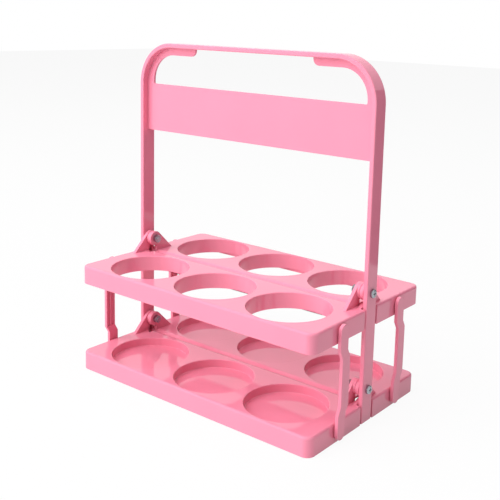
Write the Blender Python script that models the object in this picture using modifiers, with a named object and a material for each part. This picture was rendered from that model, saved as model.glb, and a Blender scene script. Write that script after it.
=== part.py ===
"""Foldable bottle carrier: two tiers of paired half trays that fold up beside a handle frame.

Run with blender --background --python part.py, or from the text editor. Metres, +Z up.
The origin is on the floor, midway between the legs. The carrier's length lies along X.
"""
import math

import bmesh
import bpy
from mathutils import Matrix, Vector

# Bottle holes, which drive the trays
BORE_RADIUS = 0.0405
HOLES_PER_ROW = 3
HOLE_WEB = 0.0103
END_MARGIN = 0.0182
OUTER_MARGIN = 0.0035
SEAM_MARGIN = 0.0086

# Half trays
TRAY_HEIGHT = 0.0193
SKIRT_WALL = 0.0024
TOP_PLATE = 0.0025
COLLAR_WALL = 0.002
COLLAR_LIFT = 0.003
RECESS_DEPTH = 0.009
CUP_FLOOR = 0.002
CORNER_RADIUS = 0.0085
TOP_EDGE = 0.0024
SEAM_EDGE = 0.0026
RIM_EDGE = 0.001
FLOOR_FILLET = 0.001
SEAM_GAP = 0.0008

# Hinge ears
EAR_RADIUS = 0.008
EAR_GAP = 0.0056
EAR_THICKNESS = 0.004
INNER_EAR_THICKNESS = 0.0037
EAR_NECK = 0.0016
EAR_SETBACK = 0.005
BOSS_STAND = 0.0025
WEDGE_REACH = 0.0115
WEDGE_RISE = 0.0033

# Slot in the top under the other half's boss
SLOT_REACH = 0.009
SLOT_CORNER = 0.0044
SLOT_DEPTH = 0.008

# Handle frame
LEG_DEPTH = 0.0156
LEG_THICKNESS = 0.0048
LEG_EDGE = 0.0005
FRAME_CORNER_RADIUS = 0.044
PANEL_THICKNESS = 0.0026
PANEL_HEIGHT = 0.051
HAND_ROOM = 0.0395
WEB_LEG_WIDTH = 0.0105
WEB_TOP_WIDTH = 0.008
WEB_CORNER_RADIUS = 0.028
WEB_END_RADIUS = 0.0065
GRIP_LENGTH = 0.147

# Links
LINK_WIDTH = 0.012
LINK_THICKNESS = 0.0036
LINK_OFFSET = 0.004
LINK_END = 0.0074
JOG_START = 0.017
JOG_LENGTH = 0.007
LINK_SKIN = 0.0014
LINK_FLANGE = 0.0018
LINK_RIB = 0.0014
PIN_RADIUS = 0.0027
PIN_HEIGHT = 0.0106
PIN_STAGGER = 0.0015
PIN_HEAD_RADIUS = 0.0036
PIN_HEAD_LENGTH = 0.0018
PIN_SHOULDER_RADIUS = 0.0045

# Pivot screws and nuts, M5
SHANK_RADIUS = 0.0025
HEAD_RADIUS = 0.0042
HEAD_HEIGHT = 0.0026
HEAD_EDGE = 0.0012
SCREW_OVERHANG = 0.0008
NUT_FLATS = 0.008
NUT_HEIGHT = 0.004

# Clearances between pieces
RUNNING_CLEARANCE = 0.0003
SIDE_CLEARANCE = 0.0004
NOTCH_CLEARANCE = 0.0028
LINK_CLEARANCE = 0.0012
FOLD_CLEARANCE = 0.0015
FOLDED_TRAY_GAP = 0.0298

# Working values for cuts, welds and the fineness of round shapes
OVERRUN = 0.002
WELD = 0.00001
BORE_STEPS = 56
ROD_STEPS = 20
EAR_STEPS = 12
CORNER_STEPS = 10
FINE_ARC_STEPS = 3

# Sizes that follow from those above
HOLE_PITCH = 2 * BORE_RADIUS + HOLE_WEB
HALF_LENGTH = (HOLES_PER_ROW - 1) * HOLE_PITCH / 2 + BORE_RADIUS + END_MARGIN
HALF_DEPTH = SEAM_MARGIN + 2 * BORE_RADIUS + OUTER_MARGIN
HOLE_ROW = SEAM_MARGIN + BORE_RADIUS
PIVOT_RISE = EAR_RADIUS + EAR_GAP
TRAY_TOP = -PIVOT_RISE
TRAY_BOTTOM = TRAY_TOP - TRAY_HEIGHT
TIER_RISE = HALF_DEPTH + FOLD_CLEARANCE
LOWER_PIVOT = -TRAY_BOTTOM
UPPER_PIVOT = LOWER_PIVOT + TIER_RISE
SEAM_FACE = -SEAM_GAP / 2
LEG_INSIDE = HALF_LENGTH - LEG_THICKNESS
EAR_OUTSIDE = LEG_INSIDE - SIDE_CLEARANCE
BOSS_OUTSIDE = EAR_OUTSIDE - EAR_THICKNESS - SIDE_CLEARANCE
INNER_EAR_OUTSIDE = BOSS_OUTSIDE - BOSS_STAND
INNER_EAR_INSIDE = INNER_EAR_OUTSIDE - INNER_EAR_THICKNESS
NOTCH_HALF_DEPTH = LEG_DEPTH / 2 + NOTCH_CLEARANCE
LINK_INSIDE = HALF_LENGTH + LINK_CLEARANCE
PIN_LEVEL = TRAY_BOTTOM + PIN_HEIGHT
FAR_PIN = HOLE_ROW + PIN_STAGGER
NEAR_PIN = HOLE_ROW - PIN_STAGGER
PANEL_BOTTOM = UPPER_PIVOT + HALF_DEPTH + FOLDED_TRAY_GAP
PANEL_TOP = PANEL_BOTTOM + PANEL_HEIGHT
BAR_UNDERSIDE = PANEL_TOP + HAND_ROOM
FRAME_TOP = BAR_UNDERSIDE + LEG_THICKNESS
NUT_OUTSIDE = INNER_EAR_INSIDE - RUNNING_CLEARANCE
NUT_INSIDE = NUT_OUTSIDE - NUT_HEIGHT
SCREW_TIP = NUT_INSIDE - SCREW_OVERHANG
HOLE_AROUND_SHANK = SHANK_RADIUS + RUNNING_CLEARANCE
HOLE_AROUND_PIN = PIN_RADIUS + RUNNING_CLEARANCE

# Colours, linear
PINK_PLASTIC = (0.75, 0.25, 0.36, 1.0)
ZINC_STEEL = (0.60, 0.61, 0.62, 1.0)

# A flat outline is drawn in x and y. These turn it to stand across Y, or across X.
FLAT = Matrix.Identity(4)
ACROSS_Y = Matrix(((1, 0, 0, 0), (0, 0, -1, 0), (0, 1, 0, 0), (0, 0, 0, 1)))
ACROSS_X = Matrix(((0, 0, 1, 0), (1, 0, 0, 0), (0, 1, 0, 0), (0, 0, 0, 1)))
HALF_TURN = math.pi


def clear_scene():
    """Removes every object and makes the two collections."""
    for old in list(bpy.data.objects):
        bpy.data.objects.remove(old, do_unlink=True)
    made = []
    for name in ("foldable_bottle_holder", "cutters"):
        collection = bpy.data.collections.new(name)
        bpy.context.scene.collection.children.link(collection)
        made.append(collection)
    return made


def make_material(name, colour, roughness, metallic):
    """Makes a Principled material with one colour."""
    material = bpy.data.materials.new(name)
    material.use_nodes = True
    shader = material.node_tree.nodes["Principled BSDF"]
    shader.inputs["Base Color"].default_value = colour
    shader.inputs["Roughness"].default_value = roughness
    shader.inputs["Metallic"].default_value = metallic
    material.diffuse_color = colour
    return material


def evaluated_mesh(item):
    """Returns a new mesh of an object with its modifiers applied, welded and facing outwards."""
    bpy.context.view_layer.update()
    graph = bpy.context.evaluated_depsgraph_get()
    mesh = bpy.data.meshes.new_from_object(item.evaluated_get(graph))
    shape = bmesh.new()
    shape.from_mesh(mesh)
    bmesh.ops.remove_doubles(shape, verts=shape.verts, dist=WELD)
    bmesh.ops.recalc_face_normals(shape, faces=shape.faces)
    shape.to_mesh(mesh)
    shape.free()
    return mesh


def take_mesh(data, modifier_type=None, **settings):
    """Evaluates a passing object that holds the data and one modifier, and returns its mesh."""
    item = bpy.data.objects.new("passing", data)
    bpy.context.scene.collection.objects.link(item)
    if modifier_type:
        modifier = item.modifiers.new("shape", modifier_type)
        for key, value in settings.items():
            setattr(modifier, key, value)
    mesh = evaluated_mesh(item)
    bpy.data.objects.remove(item, do_unlink=True)
    return mesh


def slab_mesh(outline, thickness, turn, centre):
    """Makes a flat outline into a plate, turned upright and moved to its centre."""
    curve = bpy.data.curves.new("outline", "CURVE")
    curve.dimensions = "2D"
    curve.fill_mode = "BOTH"
    curve.extrude = thickness / 2
    spline = curve.splines.new("POLY")
    spline.points.add(len(outline) - 1)
    for point, (across, up) in zip(spline.points, outline):
        point.co = (across, up, 0, 1)
    spline.use_cyclic_u = True
    mesh = take_mesh(curve)
    shape = bmesh.new()
    shape.from_mesh(mesh)
    bmesh.ops.dissolve_limit(shape, angle_limit=math.radians(1), verts=shape.verts, edges=shape.edges)
    bmesh.ops.transform(shape, matrix=Matrix.Translation(centre) @ turn, verts=shape.verts)
    shape.to_mesh(mesh)
    shape.free()
    return mesh


def turned_mesh(profile, steps, centre):
    """Turns a profile, which runs down its outer side, round an upright axis."""
    line = bpy.data.meshes.new("profile")
    edges = [(index, index + 1) for index in range(len(profile) - 1)]
    line.from_pydata([(radius, 0, height) for radius, height in profile], edges, [])
    mesh = take_mesh(line, "SCREW", steps=steps, render_steps=steps, use_merge_vertices=True,
                     merge_threshold=WELD)
    mesh.transform(Matrix.Translation(centre))
    return mesh


def add_box(shape, low, high):
    """Adds a box between two corners to a mesh in the making."""
    size = Vector(high) - Vector(low)
    middle = (Vector(high) + Vector(low)) / 2
    matrix = Matrix.Translation(middle) @ Matrix.Diagonal(size).to_4x4()
    return bmesh.ops.create_cube(shape, size=1, matrix=matrix)["verts"]


def add_rod(shape, radius, start, end, steps=ROD_STEPS):
    """Adds a round rod from the middle of one end to the middle of the other."""
    along = Vector(end) - Vector(start)
    middle = (Vector(start) + Vector(end)) / 2
    matrix = Matrix.Translation(middle) @ along.to_track_quat("Z", "Y").to_matrix().to_4x4()
    bmesh.ops.create_cone(shape, cap_ends=True, segments=steps, radius1=radius, radius2=radius,
                          depth=along.length, matrix=matrix)


def round_edges(shape, wanted, radius, steps):
    """Rounds the edges whose two ends pass a test."""
    edges = [edge for edge in shape.edges if all(wanted(vertex.co) for vertex in edge.verts)]
    bmesh.ops.bevel(shape, geom=edges, offset=radius, offset_type="OFFSET", segments=steps,
                    profile=0.5, affect="EDGES", clamp_overlap=True)


def arc(centre, radius, start, end, steps):
    """Lists the points of an arc between two angles in degrees."""
    points = []
    for step in range(steps + 1):
        angle = math.radians(start + (end - start) * step / steps)
        points.append((centre[0] + radius * math.cos(angle), centre[1] + radius * math.sin(angle)))
    return points


def put(name, data, collection, parent=None, place=(0, 0, 0), turn=0):
    """Puts an object into a collection, at a place under its parent."""
    item = bpy.data.objects.new(name, data)
    collection.objects.link(item)
    item.parent = parent
    item.location = place
    item.rotation_euler = (0, 0, turn)
    return item


def put_cutter(name, shape, target, operation, cutters):
    """Turns a mesh in the making into a wire tool that cuts or joins its target."""
    mesh = bpy.data.meshes.new(name)
    bmesh.ops.recalc_face_normals(shape, faces=shape.faces)
    shape.to_mesh(mesh)
    shape.free()
    tool = put(name, mesh, cutters, parent=target)
    tool.hide_render = True
    tool.display_type = "WIRE"
    modifier = target.modifiers.new(name, "BOOLEAN")
    modifier.operation = operation
    modifier.solver = "EXACT"
    modifier.object = tool


def dress(item, colour=PINK_PLASTIC, roughness=0.3, metallic=0.0):
    """Gives an object its own material and soft shading over its round faces."""
    item.data.materials.clear()
    item.data.materials.append(make_material(item.name, colour, roughness, metallic))
    item.data.shade_smooth()
    item.data.set_sharp_from_angle(angle=math.radians(30))


def hole_places():
    """Lists the x of each bottle hole in a row."""
    first = -(HOLES_PER_ROW - 1) * HOLE_PITCH / 2
    return [first + index * HOLE_PITCH for index in range(HOLES_PER_ROW)]


def tray_block():
    """Makes the outer block of a front half tray, with its corners and top edges rounded."""
    shape = bmesh.new()
    add_box(shape, (-HALF_LENGTH, -HALF_DEPTH, TRAY_BOTTOM), (HALF_LENGTH, SEAM_FACE, TRAY_TOP))
    outer_line = -HALF_DEPTH + WELD
    for side in (-1, 1):
        def is_corner(place, side=side):
            return place.y < outer_line and place.x * side > 0
        round_edges(shape, is_corner, CORNER_RADIUS, FINE_ARC_STEPS)
    seam_line = SEAM_FACE - WELD
    end_line = HALF_LENGTH - WELD

    def is_top(place):
        return place.z > TRAY_TOP - WELD
    edges = [edge for edge in shape.edges if all(is_top(vertex.co) for vertex in edge.verts)]
    along_seam = [edge for edge in edges if all(vertex.co.y > seam_line for vertex in edge.verts)]
    outer = [edge for edge in edges if edge not in along_seam]
    bmesh.ops.bevel(shape, geom=outer, offset=TOP_EDGE, offset_type="OFFSET", segments=FINE_ARC_STEPS,
                    profile=0.5, affect="EDGES", clamp_overlap=True)

    def is_seam(place):
        return place.y > seam_line and is_top(place) and abs(place.x) < end_line
    round_edges(shape, is_seam, SEAM_EDGE, FINE_ARC_STEPS)
    mesh = bpy.data.meshes.new("half_tray")
    shape.to_mesh(mesh)
    shape.free()
    return mesh


def tray_cavity():
    """Makes the hollow under a half tray's top plate, inside its skirt."""
    shape = bmesh.new()
    low = (-HALF_LENGTH + SKIRT_WALL, -HALF_DEPTH + SKIRT_WALL, TRAY_BOTTOM - OVERRUN)
    high = (HALF_LENGTH - SKIRT_WALL, SEAM_FACE - SKIRT_WALL, TRAY_TOP - TOP_PLATE)
    add_box(shape, low, high)
    for side in (-1, 1):
        def is_corner(place, side=side):
            return place.y < low[1] + WELD and place.x * side > 0
        round_edges(shape, is_corner, CORNER_RADIUS - SKIRT_WALL, FINE_ARC_STEPS)
    return shape


def tray_walls(collar_bottom):
    """Makes the collars round the holes and the walls round the leg notches."""
    shape = bmesh.new()
    collar_top = TRAY_TOP - TOP_PLATE / 2
    radius = BORE_RADIUS + COLLAR_WALL
    for across in hole_places():
        bottom, top = (across, -HOLE_ROW, collar_bottom), (across, -HOLE_ROW, collar_top)
        add_rod(shape, radius, bottom, top, BORE_STEPS)
    for side in (-1, 1):
        ends = sorted((side * (EAR_OUTSIDE - SKIRT_WALL), side * (HALF_LENGTH - SKIRT_WALL / 2)))
        low = (ends[0], -NOTCH_HALF_DEPTH - SKIRT_WALL, TRAY_BOTTOM)
        high = (ends[1], SEAM_FACE - SKIRT_WALL / 2, collar_top)
        add_box(shape, low, high)
    return shape


def ear_outline(setback):
    """Draws an ear: round about the pivot, slanting down at 45 degrees to its outer foot."""
    root = TRAY_TOP - TOP_PLATE / 2
    start = -math.degrees(math.acos(-EAR_NECK / EAR_RADIUS))
    foot = -(EAR_RADIUS * math.sqrt(2) - root)
    return [(-setback, root)] + arc((0, 0), EAR_RADIUS, start, 135, EAR_STEPS) + [(foot, root)]


def wedge_outline():
    """Draws the low wedge that rises towards the seam below the other half's outer ear."""
    root = TRAY_TOP - TOP_PLATE / 2
    outline = [(-EAR_NECK, root), (-EAR_NECK, TRAY_TOP + WEDGE_RISE)]
    return outline + [(-WEDGE_REACH, TRAY_TOP), (-WEDGE_REACH, root)]


def tray_ears():
    """Makes a front half's outer ear at the left leg, and its inner ear and wedge at the right."""
    shape = bmesh.new()
    outer_middle = EAR_OUTSIDE - EAR_THICKNESS / 2
    outer, inner = ear_outline(EAR_SETBACK), ear_outline(EAR_NECK)
    shape.from_mesh(slab_mesh(outer, EAR_THICKNESS, ACROSS_X, (-outer_middle, 0, 0)))
    shape.from_mesh(slab_mesh(wedge_outline(), EAR_THICKNESS, ACROSS_X, (outer_middle, 0, 0)))
    inner_middle = INNER_EAR_OUTSIDE - INNER_EAR_THICKNESS / 2
    shape.from_mesh(slab_mesh(inner, INNER_EAR_THICKNESS, ACROSS_X, (inner_middle, 0, 0)))
    return shape


def tray_boss():
    """Makes the boss that fills the room between the inner ear and the other half's ear."""
    shape = bmesh.new()
    start = (INNER_EAR_OUTSIDE - INNER_EAR_THICKNESS / 2, 0, 0)
    outline = arc((0, 0), EAR_RADIUS, 0, 360 - 360 / (2 * ROD_STEPS), 2 * ROD_STEPS - 1)
    length = BOSS_OUTSIDE - start[0]
    shape.from_mesh(slab_mesh(outline, length, ACROSS_X, (start[0] + length / 2, 0, 0)))
    return shape


def slot_mesh():
    """Makes the slot in the top and the seam wall below the other half's boss."""
    outside = EAR_OUTSIDE - EAR_THICKNESS
    outline = [(-outside, OVERRUN), (-outside, SLOT_CORNER - SLOT_REACH)]
    outline += [(SLOT_CORNER - outside, -SLOT_REACH), (-INNER_EAR_INSIDE, -SLOT_REACH)]
    outline += [(-INNER_EAR_INSIDE, OVERRUN)]
    middle = TRAY_TOP + (OVERRUN - SLOT_DEPTH) / 2
    return slab_mesh(outline, SLOT_DEPTH + OVERRUN, FLAT, (0, 0, middle))


def tray_cuts(floor):
    """Makes the cuts in a half tray: bottle bores, leg notches, slot and link holes."""
    shape = bmesh.new()
    rim = arc((BORE_RADIUS + RIM_EDGE, TRAY_TOP - RIM_EDGE), RIM_EDGE, 90, 180, FINE_ARC_STEPS - 1)
    above = TRAY_TOP + OVERRUN
    profile = [(0, above), (BORE_RADIUS + RIM_EDGE, above)] + rim
    if floor is None:
        below = TRAY_BOTTOM - OVERRUN
        profile += [(BORE_RADIUS, below), (0, below)]
    else:
        middle = (BORE_RADIUS - FLOOR_FILLET, floor + FLOOR_FILLET)
        profile += arc(middle, FLOOR_FILLET, 0, -90, FINE_ARC_STEPS - 1) + [(0, floor)]
    for across in hole_places():
        shape.from_mesh(turned_mesh(profile, BORE_STEPS, (across, -HOLE_ROW, 0)))
    shape.from_mesh(slot_mesh())
    for side in (-1, 1):
        ends = sorted((side * EAR_OUTSIDE, side * (HALF_LENGTH + OVERRUN)))
        add_box(shape, (ends[0], -NOTCH_HALF_DEPTH, TRAY_BOTTOM - OVERRUN), (ends[1], OVERRUN, above))
    for side, reach in ((-1, NEAR_PIN), (1, FAR_PIN)):
        ends = sorted((side * (HALF_LENGTH - SKIRT_WALL - OVERRUN), side * (HALF_LENGTH + OVERRUN)))
        add_rod(shape, HOLE_AROUND_PIN, (ends[0], -reach, PIN_LEVEL), (ends[1], -reach, PIN_LEVEL))
    return shape


def ear_holes():
    """Makes the holes for the screw shanks through both ears."""
    shape = bmesh.new()
    for side in (-1, 1):
        ends = sorted((side * (INNER_EAR_INSIDE - OVERRUN), side * (EAR_OUTSIDE + OVERRUN)))
        add_rod(shape, HOLE_AROUND_SHANK, (ends[0], 0, 0), (ends[1], 0, 0))
    return shape


def half_tray(name, pivot, floor, collection, cutters):
    """Makes a front half tray with its pivot line at its origin."""
    tray = put(name, tray_block(), collection, parent=pivot)
    put_cutter(name + "_cavity", tray_cavity(), tray, "DIFFERENCE", cutters)
    collar_bottom = TRAY_BOTTOM + COLLAR_LIFT if floor is None else floor - CUP_FLOOR
    put_cutter(name + "_walls", tray_walls(collar_bottom), tray, "UNION", cutters)
    put_cutter(name + "_ears", tray_ears(), tray, "UNION", cutters)
    put_cutter(name + "_boss", tray_boss(), tray, "UNION", cutters)
    put_cutter(name + "_cuts", tray_cuts(floor), tray, "DIFFERENCE", cutters)
    put_cutter(name + "_ear_holes", ear_holes(), tray, "DIFFERENCE", cutters)
    dress(tray)
    return tray


def frame_rim():
    """Makes the band of the handle frame: two legs, round top corners and the bar."""
    inner_radius = FRAME_CORNER_RADIUS - LEG_THICKNESS
    middle_x = HALF_LENGTH - FRAME_CORNER_RADIUS
    middle_z = FRAME_TOP - FRAME_CORNER_RADIUS
    left, right = (-middle_x, middle_z), (middle_x, middle_z)
    outline = [(-HALF_LENGTH, 0)]
    outline += arc(left, FRAME_CORNER_RADIUS, 180, 90, CORNER_STEPS)
    outline += arc(right, FRAME_CORNER_RADIUS, 90, 0, CORNER_STEPS)
    outline += [(HALF_LENGTH, 0), (LEG_INSIDE, 0)]
    outline += arc(right, inner_radius, 0, 90, CORNER_STEPS)
    outline += arc(left, inner_radius, 90, 180, CORNER_STEPS)
    outline += [(-LEG_INSIDE, 0)]
    mesh = slab_mesh(outline, LEG_DEPTH, ACROSS_Y, (0, 0, 0))
    return take_mesh(mesh, "BEVEL", width=LEG_EDGE, segments=2, limit_method="ANGLE",
                     angle_limit=math.radians(60))


def frame_panel():
    """Makes the flat panel and the thin web that runs round the hand opening to the grip."""
    inset = LEG_THICKNESS / 2
    radius = FRAME_CORNER_RADIUS - inset
    middle_x = HALF_LENGTH - FRAME_CORNER_RADIUS
    middle_z = FRAME_TOP - FRAME_CORNER_RADIUS
    edge = HALF_LENGTH - inset
    top = FRAME_TOP - inset
    window_side = LEG_INSIDE - WEB_LEG_WIDTH
    window_top = BAR_UNDERSIDE - WEB_TOP_WIDTH
    round_x = window_side - WEB_CORNER_RADIUS
    round_z = window_top - WEB_CORNER_RADIUS
    grip = GRIP_LENGTH / 2
    end_x = grip + WEB_END_RADIUS
    end_z = window_top + WEB_END_RADIUS
    right = [(edge, PANEL_BOTTOM)] + arc((middle_x, middle_z), radius, 0, 90, CORNER_STEPS)
    right += [(grip, top)] + arc((end_x, end_z), WEB_END_RADIUS, 180, 270, FINE_ARC_STEPS)
    right += arc((round_x, round_z), WEB_CORNER_RADIUS, 90, 0, CORNER_STEPS)
    right += [(window_side, PANEL_TOP)]
    left = [(-across, up) for across, up in reversed(right)]
    shape = bmesh.new()
    shape.from_mesh(slab_mesh(right + left, PANEL_THICKNESS, ACROSS_Y, (0, 0, 0)))
    return shape


def leg_holes():
    """Makes the holes for the screw shanks through both legs, at both pivot heights."""
    shape = bmesh.new()
    for height in (LOWER_PIVOT, UPPER_PIVOT):
        for side in (-1, 1):
            ends = sorted((side * (LEG_INSIDE - OVERRUN), side * (HALF_LENGTH + OVERRUN)))
            add_rod(shape, HOLE_AROUND_SHANK, (ends[0], 0, height), (ends[1], 0, height))
    return shape


def handle_frame(collection, cutters):
    """Makes the handle frame, one moulding that stands on the floor."""
    frame = put("handle_frame", frame_rim(), collection)
    put_cutter("frame_panel", frame_panel(), frame, "UNION", cutters)
    put_cutter("leg_holes", leg_holes(), frame, "DIFFERENCE", cutters)
    dress(frame)
    return frame


def link_outline():
    """Draws a link's dog leg from its upper pin at the origin to its lower pin."""
    half = LINK_WIDTH / 2
    lower = -TIER_RISE
    bends = [(half, -JOG_START), (half + LINK_OFFSET, -JOG_START - JOG_LENGTH)]
    bends += [(half + LINK_OFFSET, lower + JOG_START + JOG_LENGTH), (half, lower + JOG_START)]
    beyond = LINK_END - half
    outline = arc((0, beyond), half, 180, 0, EAR_STEPS) + bends
    outline += arc((0, lower - beyond), half, 0, -180, EAR_STEPS)
    outline += [(across - LINK_WIDTH, up) for across, up in reversed(bends)]
    return outline


def link_pockets():
    """Makes the two long pockets that leave a link's flanges and middle rib."""
    shape = bmesh.new()
    half = LINK_WIDTH / 2
    depth = LINK_THICKNESS - LINK_SKIN
    top = -JOG_START - JOG_LENGTH
    bottom = -TIER_RISE - top
    sides = ((-half + LINK_FLANGE, -LINK_RIB / 2), (LINK_RIB / 2, half - LINK_FLANGE))
    for low, high in sides:
        add_box(shape, (-OVERRUN, LINK_OFFSET + low, bottom), (depth, LINK_OFFSET + high, top))
    return shape


def link_pins():
    """Makes both pins: a shoulder against the tray's end, a neck through it and a snap head."""
    shape = bmesh.new()
    root = LINK_THICKNESS / 2
    shoulder = -(LINK_CLEARANCE - RUNNING_CLEARANCE)
    head_start = -(LINK_CLEARANCE + SKIRT_WALL + RUNNING_CLEARANCE)
    tip = head_start - PIN_HEAD_LENGTH
    profile = [(0, root), (PIN_SHOULDER_RADIUS, root), (PIN_SHOULDER_RADIUS, shoulder)]
    profile += [(PIN_RADIUS, shoulder), (PIN_RADIUS, head_start), (PIN_HEAD_RADIUS, head_start)]
    profile += [(PIN_RADIUS, tip), (0, tip)]
    for height in (0, -TIER_RISE):
        mesh = turned_mesh(profile, ROD_STEPS, (0, 0, 0))
        mesh.transform(Matrix.Translation((0, 0, height)) @ Matrix.Rotation(math.pi / 2, 4, "Y"))
        shape.from_mesh(mesh)
    return shape


def first_link(name, joint, collection, cutters):
    """Makes a link with its upper pin at its origin and its outer face towards +X."""
    mesh = slab_mesh(link_outline(), LINK_THICKNESS, ACROSS_X, (LINK_THICKNESS / 2, 0, 0))
    link = put(name, mesh, collection, parent=joint)
    put_cutter("link_pockets", link_pockets(), link, "DIFFERENCE", cutters)
    put_cutter("link_pins", link_pins(), link, "UNION", cutters)
    dress(link)
    return link


def screw_mesh():
    """Turns a pan head screw, its head's underside at the origin and its shank along -Z."""
    length = HALF_LENGTH + RUNNING_CLEARANCE - SCREW_TIP
    profile = [(0, HEAD_HEIGHT)]
    dome = arc((HEAD_RADIUS - HEAD_EDGE, HEAD_HEIGHT - HEAD_EDGE), HEAD_EDGE, 90, 0, FINE_ARC_STEPS)
    profile += dome + [(HEAD_RADIUS, 0), (SHANK_RADIUS, 0), (SHANK_RADIUS, -length), (0, -length)]
    return turned_mesh(profile, ROD_STEPS, (0, 0, 0))


def nut_mesh():
    """Makes a hexagon nut from the origin along +Z, with a clear bore."""
    shape = bmesh.new()
    corner_radius = NUT_FLATS / (2 * math.cos(math.pi / 6))
    up = Matrix.Translation((0, 0, NUT_HEIGHT / 2))
    bmesh.ops.create_cone(shape, cap_ends=True, segments=6, radius1=corner_radius,
                          radius2=corner_radius, depth=NUT_HEIGHT, matrix=up)
    mesh = bpy.data.meshes.new("nut")
    shape.to_mesh(mesh)
    shape.clear()
    bmesh.ops.create_cone(shape, cap_ends=True, segments=ROD_STEPS, radius1=HOLE_AROUND_SHANK,
                          radius2=HOLE_AROUND_SHANK, depth=NUT_HEIGHT + OVERRUN, matrix=up)
    bore_mesh = bpy.data.meshes.new("nut_bore")
    shape.to_mesh(bore_mesh)
    shape.free()
    bore = bpy.data.objects.new("nut_bore", bore_mesh)
    bpy.context.scene.collection.objects.link(bore)
    cut = take_mesh(mesh, "BOOLEAN", operation="DIFFERENCE", solver="EXACT", object=bore)
    bpy.data.objects.remove(bore, do_unlink=True)
    return cut


def fasteners(collection):
    """Places a pivot screw and its nut at each of the four hinges."""
    screw, nut = screw_mesh(), nut_mesh()
    for level, height in (("upper", UPPER_PIVOT), ("lower", LOWER_PIVOT)):
        for side_name, side in (("left", -1), ("right", 1)):
            outwards = side * math.pi / 2
            seat = side * (HALF_LENGTH + RUNNING_CLEARANCE)
            place = (seat, 0, height)
            item = put(f"{level}_{side_name}_screw", screw.copy(), collection, place=place)
            item.rotation_euler = (0, outwards, 0)
            dress(item, ZINC_STEEL, 0.25, 1.0)
            place = (side * NUT_INSIDE, 0, height)
            item = put(f"{level}_{side_name}_nut", nut.copy(), collection, place=place)
            item.rotation_euler = (0, outwards, 0)
            dress(item, ZINC_STEEL, 0.3, 1.0)


def folding_joints(collection):
    """Makes an empty on each fold line, and one under each upper fold for each link."""
    joints = {}
    for level, height in (("upper", UPPER_PIVOT), ("lower", LOWER_PIVOT)):
        for half in ("front", "rear"):
            name = f"{level}_{half}"
            joints[name] = put(name + "_fold", None, collection, place=(0, 0, height))
    for half, toward in (("front", -1), ("rear", 1)):
        for side_name, side in (("left", -1), ("right", 1)):
            reach = FAR_PIN if side * toward < 0 else NEAR_PIN
            name = f"{half}_{side_name}"
            place = (side * LINK_INSIDE, toward * reach, PIN_LEVEL)
            joints[name] = put(name + "_link_joint", None, collection, joints["upper_" + half], place)
    return joints


def main():
    """Builds the whole carrier."""
    collection, cutters = clear_scene()
    joints = folding_joints(collection)
    handle_frame(collection, cutters)
    floors = {"upper": None, "lower": TRAY_TOP - RECESS_DEPTH}
    for level, floor in floors.items():
        front = half_tray(level + "_front_tray", joints[level + "_front"], floor, collection, cutters)
        twin = evaluated_mesh(front)
        rear = put(level + "_rear_tray", twin, collection, joints[level + "_rear"], turn=HALF_TURN)
        dress(rear)
    link = first_link("front_right_link", joints["front_right"], collection, cutters)
    for name, turn in (("rear_right", 0), ("front_left", HALF_TURN), ("rear_left", HALF_TURN)):
        twin = evaluated_mesh(link)
        dress(put(name + "_link", twin, collection, joints[name], turn=turn))
    fasteners(collection)


main()
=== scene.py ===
import math

import bmesh
import bpy
from bpy.props import FloatProperty, FloatVectorProperty, PointerProperty, StringProperty
from mathutils import Euler, Matrix, Vector


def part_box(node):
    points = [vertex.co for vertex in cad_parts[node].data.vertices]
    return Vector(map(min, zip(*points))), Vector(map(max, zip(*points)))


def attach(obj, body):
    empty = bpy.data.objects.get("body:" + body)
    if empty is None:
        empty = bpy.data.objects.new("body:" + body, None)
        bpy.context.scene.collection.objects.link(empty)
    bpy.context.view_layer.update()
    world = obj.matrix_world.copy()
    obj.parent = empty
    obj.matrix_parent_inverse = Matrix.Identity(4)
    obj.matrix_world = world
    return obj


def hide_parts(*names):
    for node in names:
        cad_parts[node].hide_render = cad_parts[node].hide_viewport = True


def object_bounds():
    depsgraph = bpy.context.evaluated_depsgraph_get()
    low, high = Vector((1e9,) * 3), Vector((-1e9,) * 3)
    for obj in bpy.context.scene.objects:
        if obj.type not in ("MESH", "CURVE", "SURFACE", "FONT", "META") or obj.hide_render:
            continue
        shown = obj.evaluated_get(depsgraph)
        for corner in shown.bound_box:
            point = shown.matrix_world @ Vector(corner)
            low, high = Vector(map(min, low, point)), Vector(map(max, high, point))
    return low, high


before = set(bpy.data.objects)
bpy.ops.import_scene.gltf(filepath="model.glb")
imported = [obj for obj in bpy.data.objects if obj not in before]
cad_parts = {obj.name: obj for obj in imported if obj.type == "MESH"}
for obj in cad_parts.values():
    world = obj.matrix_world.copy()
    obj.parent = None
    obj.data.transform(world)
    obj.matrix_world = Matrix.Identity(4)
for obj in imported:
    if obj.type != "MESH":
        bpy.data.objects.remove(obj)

bl_info = {
    "name": "Foldable bottle holder",
    "version": (1, 0, 0),
    "blender": (4, 5, 0),
    "location": "View3D > Sidebar > Holder",
    "description": "Models the trays, handle frame, links and pivot screws of a folding bottle holder",
    "category": "Add Mesh",
}

CAD_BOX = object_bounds()

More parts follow.
